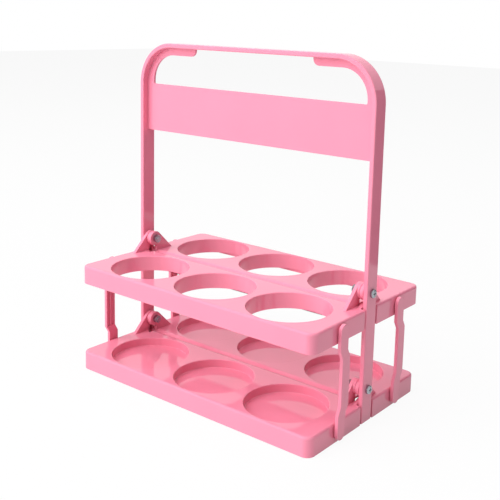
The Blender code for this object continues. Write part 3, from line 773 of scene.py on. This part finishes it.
def notch_tools(hinge, top, bottom, faces):
    """Models the tools that cut the two leg notches and the slot under the other half's boss."""
    depth = FRAME_HIGH.y + hinge.notch
    tools = []
    for side in (-1, 1):
        ends = sorted((side * faces["ear"], side * (HALF_LENGTH + OVERRUN)))
        tools.append(add_block("notch", (ends[0], -depth, bottom - OVERRUN),
                               (ends[1], OVERRUN, top + OVERRUN)))
    outside = faces["ear"] - hinge.outer
    outline = [(-outside, OVERRUN), (-outside, hinge.slot_corner - hinge.slot_reach)]
    outline += [(hinge.slot_corner - outside, -hinge.slot_reach)]
    outline += [(hinge.inner - faces["inner"], -hinge.slot_reach), (hinge.inner - faces["inner"], OVERRUN)]
    tools.append(add_prism("slot", outline, "Z", top - hinge.slot_depth, top + OVERRUN))
    return group(tools)


def pin_tools(sizes, link, bottom):
    """Models the tools that cut the holes for the links' pins."""
    tools = []
    level = bottom + link.pin_height
    near = (REAR_LINK_LOW.y + REAR_LINK_HIGH.y - link.offset) / 2
    far = -(LINK_LOW.y + LINK_HIGH.y - link.offset) / 2
    for side, reach in ((-1, near), (1, far)):
        start = (side * (HALF_LENGTH - sizes.skirt - OVERRUN), -reach, level)
        tools.append(add_rod("pin_hole", link.pin + link.running, start,
                             (side * (HALF_LENGTH + OVERRUN), -reach, level)))
    return group(tools)


def screw_tools(hinge, pivot, faces):
    """Models the tools that cut the screw holes through the ears."""
    tools = []
    for side in (-1, 1):
        start = (side * (faces["inner"] - hinge.inner - OVERRUN), 0, pivot)
        tools.append(add_rod("screw_hole", hinge.hole, start, (side * (faces["ear"] + OVERRUN), 0, pivot)))
    return group(tools)


def half_tray(name, sizes, hinge, link, thickness, pivot, floor_depth):
    """Models a front half tray."""
    top = pivot - hinge.ear - hinge.gap
    bottom = top - sizes.height
    floor = None if floor_depth is None else top - floor_depth
    ear = HALF_LENGTH - thickness - hinge.side
    boss = ear - hinge.outer - hinge.side
    faces = {"ear": ear, "boss": boss, "inner": boss - hinge.boss}
    tray = tray_block(sizes, top, bottom)
    combine(tray, tray_cavity(sizes, top, bottom), "DIFFERENCE")
    collar_bottom = bottom + sizes.collar_lift if floor is None else floor - sizes.cup
    combine(tray, tray_collars(sizes, top, collar_bottom), "UNION")
    combine(tray, notch_pads(sizes, hinge, top, bottom, ear), "UNION")
    combine(tray, notch_tools(hinge, top, bottom, faces), "DIFFERENCE")
    combine(tray, pin_tools(sizes, link, bottom), "DIFFERENCE")
    combine(tray, tray_bores(sizes, top, bottom, floor), "DIFFERENCE")
    clean_up(tray)
    soften(tray, sizes.soft)
    combine(tray, tray_ears(sizes, hinge, top, pivot, faces), "UNION")
    combine(tray, screw_tools(hinge, pivot, faces), "DIFFERENCE")
    shade(tray)
    tray.name = name
    tray.data.name = name
    return tray


def link_outline(sizes):
    """Draws a link's dog leg from its upper pin at the origin to its lower pin."""
    half = sizes.width / 2
    near, far = sizes.jog_start, sizes.jog_start + sizes.jog
    bends = [(half, -near), (half + sizes.offset, -far)]
    bends += [(half + sizes.offset, far - TIER_RISE), (half, near - TIER_RISE)]
    beyond = sizes.end - half
    outline = arc((0, beyond), half, 180, 0, LINK_END_STEPS) + bends
    outline += arc((0, -TIER_RISE - beyond), half, 0, -180, LINK_END_STEPS)
    outline += [(across - sizes.width, up) for across, up in reversed(bends)]
    return outline


def first_link(sizes, skirt):
    """Models the front right link in its place, with its pockets towards the tray."""
    inside = LINK_HIGH.x - sizes.thickness
    pin_y = (LINK_LOW.y + LINK_HIGH.y - sizes.offset) / 2
    pin_z = LINK_HIGH.z - sizes.end
    outline = [(across + pin_y, up + pin_z) for across, up in link_outline(sizes)]
    link = add_prism("front_right_link", outline, "X", inside, LINK_HIGH.x)
    half = sizes.width / 2
    top = pin_z - sizes.jog_start - sizes.jog
    bottom = pin_z - TIER_RISE + sizes.jog_start + sizes.jog
    pockets = []
    for low, high in ((-half + sizes.flange, -sizes.rib / 2), (sizes.rib / 2, half - sizes.flange)):
        middle = pin_y + sizes.offset
        pockets.append(add_block("pocket", (inside - OVERRUN, middle + low, bottom),
                                 (LINK_HIGH.x - sizes.skin, middle + high, top)))
    combine(link, group(pockets), "DIFFERENCE")
    soften(link, sizes.edge / 2, angle=40, steps=3)
    shoulder = inside - sizes.clearance + sizes.running
    neck = inside - sizes.clearance - skirt - sizes.running
    tip = neck - sizes.head_length
    root = inside + sizes.thickness / 2
    profile = [(0, root), (sizes.shoulder, root), (sizes.shoulder, shoulder), (sizes.pin, shoulder)]
    profile += [(sizes.pin, neck), (sizes.head, neck), (sizes.pin, tip), (0, tip)]
    pins = [add_turned("pin", profile, ROD_STEPS, (0, pin_y, level), axis="X")
            for level in (pin_z, pin_z - TIER_RISE)]
    combine(link, group(pins), "UNION")
    shade(link)
    return link


def first_screw(sizes):
    """Models the upper right screw: a domed pan head with a cross recess and a threaded tip."""
    seat = UPPER_SCREW_HIGH.x - sizes.head_height
    tip = UPPER_SCREW_LOW.x
    crest = sizes.shank
    groove = crest - sizes.thread * GROOVE_SHARE
    middle = (sizes.head - sizes.head_edge, UPPER_SCREW_HIGH.x - sizes.head_edge)
    profile = [(0, UPPER_SCREW_HIGH.x)] + arc(middle, sizes.head_edge, 90, 0, DOME_STEPS)
    level = UPPER_NUT_HIGH.x
    profile += [(sizes.head, seat), (crest, seat), (crest, level)]
    while level - sizes.thread > tip:
        profile += [(groove, level - sizes.thread / 2), (crest, level - sizes.thread)]
        level -= sizes.thread
    profile += [(groove, tip), (0, tip)]
    screw = add_turned("upper_right_screw", profile, ROD_STEPS, (0, 0, UPPER_PIVOT), axis="X")
    half = sizes.recess_wall / 2
    floor = UPPER_SCREW_HIGH.x - sizes.recess_depth
    above = UPPER_SCREW_HIGH.x + OVERRUN
    cross, other = (add_block("cross", (floor, -across, UPPER_PIVOT - up),
                              (above, across, UPPER_PIVOT + up))
                    for across, up in ((sizes.recess, half), (half, sizes.recess)))
    combine(cross, other, "UNION")
    combine(screw, cross, "DIFFERENCE")
    shade(screw)
    return screw


def first_nut(sizes, hole):
    """Models the upper right nut: a hexagon with chamfered corners and a clear bore."""
    low, high = UPPER_NUT_LOW.x, UPPER_NUT_HIGH.x
    corner = sizes.flats / 2 / math.cos(math.pi / 6)
    nut = add_rod("upper_right_nut", corner, (low, 0, UPPER_PIVOT), (high, 0, UPPER_PIVOT), 6)
    flat = sizes.flats / 2
    profile = [(0, low), (flat, low), (corner + NEAR, low + sizes.chamfer)]
    profile += [(corner + NEAR, high - sizes.chamfer), (flat, high), (0, high)]
    barrel = add_turned("barrel", profile, ROD_STEPS, (0, 0, UPPER_PIVOT), axis="X")
    combine(nut, barrel, "INTERSECT")
    bore = add_rod("bore", hole, (low - OVERRUN, 0, UPPER_PIVOT), (high + OVERRUN, 0, UPPER_PIVOT))
    combine(nut, bore, "DIFFERENCE")
    shade(nut)
    return nut


class HOLDER_OT_handle_frame(bpy.types.Operator):
    """Model the handle frame with its panel and grip"""
    bl_idname = "holder.handle_frame"
    bl_label = "Handle frame"

    def execute(self, context):
        scene = context.scene
        piece = handle_frame(scene.holder_frame, scene.holder_hinge)
        piece.name = "handle_frame_moulding"
        take_place(piece, "handle_frame", "frame", moulded_polypropylene(scene.holder_finish))
        return {"FINISHED"}


def tray_pair(scene, level, pivot, floor_depth):
    """Models both halves of a tier. The rear half is the front half turned round."""
    front = half_tray(f"{level}_front_half", scene.holder_tray, scene.holder_hinge, scene.holder_link,
                      scene.holder_frame.thickness, pivot, floor_depth)
    rear = duplicate(front, f"{level}_rear_half", turn=math.pi)
    material = moulded_polypropylene(scene.holder_finish)
    take_place(front, f"{level}_front_tray", f"{level}_front_tray", material)
    take_place(rear, f"{level}_rear_tray", f"{level}_rear_tray", material)


class HOLDER_OT_upper_trays(bpy.types.Operator):
    """Model the two upper half trays with their open bottle holes"""
    bl_idname = "holder.upper_trays"
    bl_label = "Upper trays"

    def execute(self, context):
        tray_pair(context.scene, "upper", UPPER_PIVOT, None)
        return {"FINISHED"}


class HOLDER_OT_lower_trays(bpy.types.Operator):
    """Model the two lower half trays with their round recesses"""
    bl_idname = "holder.lower_trays"
    bl_label = "Lower trays"

    def execute(self, context):
        tray_pair(context.scene, "lower", LOWER_PIVOT, context.scene.holder_tray.recess)
        return {"FINISHED"}


class HOLDER_OT_links(bpy.types.Operator):
    """Model the four links between the tiers"""
    bl_idname = "holder.links"
    bl_label = "Links"

    def execute(self, context):
        scene = context.scene
        material = moulded_polypropylene(scene.holder_finish)
        right = first_link(scene.holder_link, scene.holder_tray.skirt)
        apart = (0, REAR_LINK_LOW.y - LINK_LOW.y, 0)
        links = {"front_right_link": right}
        links["rear_right_link"] = duplicate(right, "rear_right", shift=apart)
        links["rear_left_link"] = duplicate(right, "rear_left", turn=math.pi)
        links["front_left_link"] = duplicate(links["rear_right_link"], "front_left", turn=math.pi)
        for node, piece in links.items():
            piece.name = node + "_moulding"
            take_place(piece, node, node, material)
        return {"FINISHED"}


class HOLDER_OT_fasteners(bpy.types.Operator):
    """Model the four pivot screws and their nuts"""
    bl_idname = "holder.fasteners"
    bl_label = "Screws and nuts"

    def execute(self, context):
        scene = context.scene
        material = zinc_plated_steel(scene.holder_finish)
        down = (0, 0, -TIER_RISE)
        for kind, first in (("screw", first_screw(scene.holder_fastener)),
                            ("nut", first_nut(scene.holder_fastener, scene.holder_hinge.hole))):
            made = {"upper_right": first, "lower_right": duplicate(first, "lower_right", shift=down)}
            made["upper_left"] = duplicate(first, "upper_left", turn=math.pi)
            made["lower_left"] = duplicate(made["lower_right"], "lower_left", turn=math.pi)
            for place, piece in made.items():
                piece.name = f"{place}_{kind}_zinc"
                take_place(piece, f"{place}_{kind}", "frame", material)
        return {"FINISHED"}


def seen_directly(tree):
    """Gives 1 to rays that come from the eye, the gloss or something clear, and 0 to the others."""
    seen = add_node(tree, "ShaderNodeLightPath")
    either = add_node(tree, "ShaderNodeMath", {"operation": "MAXIMUM"}, _0=seen.outputs["Is Camera Ray"],
                      _1=seen.outputs["Is Glossy Ray"])
    direct = add_node(tree, "ShaderNodeMath", {"operation": "MAXIMUM"}, _0=either.outputs[0],
                      _1=seen.outputs["Is Transmission Ray"])
    return direct.outputs[0]


def pale_floor(stage):
    """A wide matt white floor. The camera and the gloss see it lit to white, less its shadows."""
    deselect_all()
    bpy.ops.mesh.primitive_plane_add(size=stage.floor_size, location=(0, 0, -NEAR))
    floor = bpy.context.object
    floor.name = "floor"
    material, tree = new_material("matt_white_paper")
    paper = add_node(tree, "ShaderNodeBsdfDiffuse", Color=(*[stage.floor_white] * 3, 1))
    faint = add_node(tree, "ShaderNodeBsdfDiffuse", Color=(*[stage.floor_shade] * 3, 1))
    lit = add_node(tree, "ShaderNodeEmission", Color=(1, 1, 1, 1), Strength=stage.floor_glow)
    both = add_node(tree, "ShaderNodeAddShader", _0=faint.outputs[0], _1=lit.outputs[0])
    mixed = add_node(tree, "ShaderNodeMixShader", _0=seen_directly(tree), _1=paper.outputs[0],
                     _2=both.outputs[0])
    add_node(tree, "ShaderNodeOutputMaterial", Surface=mixed.outputs[0])
    floor.data.materials.append(material)


def dark_card(stage):
    """A dark card at the right, behind the holder. Only the gloss sees it, above all the legs' sides."""
    deselect_all()
    foot = Vector(stage.card_place)
    bpy.ops.mesh.primitive_plane_add(size=stage.card_size, location=foot + AXES["Z"] * stage.card_size / 2,
                                     rotation=(math.pi / 2, 0, 0))
    card = bpy.context.object
    card.name = "dark_card"
    for ray in ("camera", "diffuse", "transmission", "volume_scatter", "shadow"):
        setattr(card, "visible_" + ray, False)
    material, tree = new_material("dark_card")
    paper = add_node(tree, "ShaderNodeBsdfDiffuse", Color=(*[stage.floor_shade] * 3, 1))
    add_node(tree, "ShaderNodeOutputMaterial", Surface=paper.outputs[0])
    card.data.materials.append(material)


def even_surroundings(stage):
    """White surroundings for the eye and the gloss, and a softer even light on matt surfaces."""
    world = bpy.data.worlds.get("studio") or bpy.data.worlds.new("studio")
    bpy.context.scene.world = world
    world.use_nodes = True
    tree = world.node_tree
    tree.nodes.clear()
    level = add_node(tree, "ShaderNodeMapRange", Value=seen_directly(tree), To_Min=stage.fill,
                     To_Max=stage.backdrop)
    sky = add_node(tree, "ShaderNodeBackground", Color=(1, 1, 1, 1), Strength=level.outputs["Result"])
    add_node(tree, "ShaderNodeOutputWorld", Surface=sky.outputs[0])


def add_lamp(name, place, target, size, watts):
    """Adds a square soft lamp that points at a target.

    The gloss shows the white surroundings in its place, which keeps rounded edges from glaring.
    """
    deselect_all()
    turned = (Vector(target) - Vector(place)).to_track_quat("-Z", "Y").to_euler()
    bpy.ops.object.light_add(type="AREA", location=place, rotation=turned)
    lamp = bpy.context.object
    lamp.name = name
    lamp.data.shape = "SQUARE"
    lamp.data.size = size
    lamp.data.energy = watts
    lamp.visible_glossy = False


def place_camera(stage):
    """Places the camera at the photograph's viewing angle."""
    deselect_all()
    upright = Euler((math.pi / 2 + stage.pitch, 0, stage.yaw)).to_matrix()
    turned = upright @ Matrix.Rotation(stage.roll, 3, "Z")
    bpy.ops.object.camera_add(location=stage.place, rotation=turned.to_euler())
    camera = bpy.context.object
    camera.data.lens = stage.lens
    camera.data.sensor_width = SENSOR_WIDTH
    camera.data.shift_x, camera.data.shift_y = stage.shift
    camera.data.clip_start = NEAREST
    bpy.context.scene.camera = camera


class HOLDER_OT_stage(bpy.types.Operator):
    """Set up the floor, the lamps and the camera"""
    bl_idname = "holder.stage"
    bl_label = "Stage"

    def execute(self, context):
        stage = context.scene.holder_stage
        pale_floor(stage)
        dark_card(stage)
        even_surroundings(stage)
        middle = (0, 0, (CAD_BOX[0].z + CAD_BOX[1].z) / 2)
        add_lamp("key", stage.key_place, middle, stage.key_size, stage.key)
        add_lamp("top", stage.top_place, middle, stage.top_size, stage.top)
        place_camera(stage)
        context.scene.view_settings.view_transform = "Standard"
        return {"FINISHED"}


class HOLDER_PT_sidebar(bpy.types.Panel):
    """Lists the steps that model the holder"""
    bl_idname = "HOLDER_PT_sidebar"
    bl_label = "Foldable bottle holder"
    bl_space_type = "VIEW_3D"
    bl_region_type = "UI"
    bl_category = "Holder"

    def draw(self, context):
        for operator in OPERATORS:
            self.layout.operator(operator.bl_idname)
        for name in SETTINGS:
            box = self.layout.box()
            group_settings = getattr(context.scene, name)
            for key in group_settings.bl_rna.properties.keys():
                if key not in ("name", "rna_type"):
                    box.prop(group_settings, key)


SETTINGS = {
    "holder_frame": FrameSizes,
    "holder_tray": TraySizes,
    "holder_hinge": HingeSizes,
    "holder_link": LinkSizes,
    "holder_fastener": FastenerSizes,
    "holder_finish": FinishSettings,
    "holder_stage": StageSettings,
}
OPERATORS = (HOLDER_OT_handle_frame, HOLDER_OT_upper_trays, HOLDER_OT_lower_trays, HOLDER_OT_links,
             HOLDER_OT_fasteners, HOLDER_OT_stage)


def register():
    """Registers the settings, the operators and the panel."""
    for name, settings in SETTINGS.items():
        bpy.utils.register_class(settings)
        setattr(bpy.types.Scene, name, PointerProperty(type=settings))
    for operator in OPERATORS:
        bpy.utils.register_class(operator)
    bpy.utils.register_class(HOLDER_PT_sidebar)


def unregister():
    """Removes them again."""
    bpy.utils.unregister_class(HOLDER_PT_sidebar)
    for operator in reversed(OPERATORS):
        bpy.utils.unregister_class(operator)
    for name, settings in SETTINGS.items():
        delattr(bpy.types.Scene, name)
        bpy.utils.unregister_class(settings)


def main():
    """Models every piece and sets the stage."""
    register()
    bpy.ops.holder.handle_frame()
    bpy.ops.holder.upper_trays()
    bpy.ops.holder.lower_trays()
    bpy.ops.holder.links()
    bpy.ops.holder.fasteners()
    bpy.ops.holder.stage()


if __name__ == "__main__":
    main()
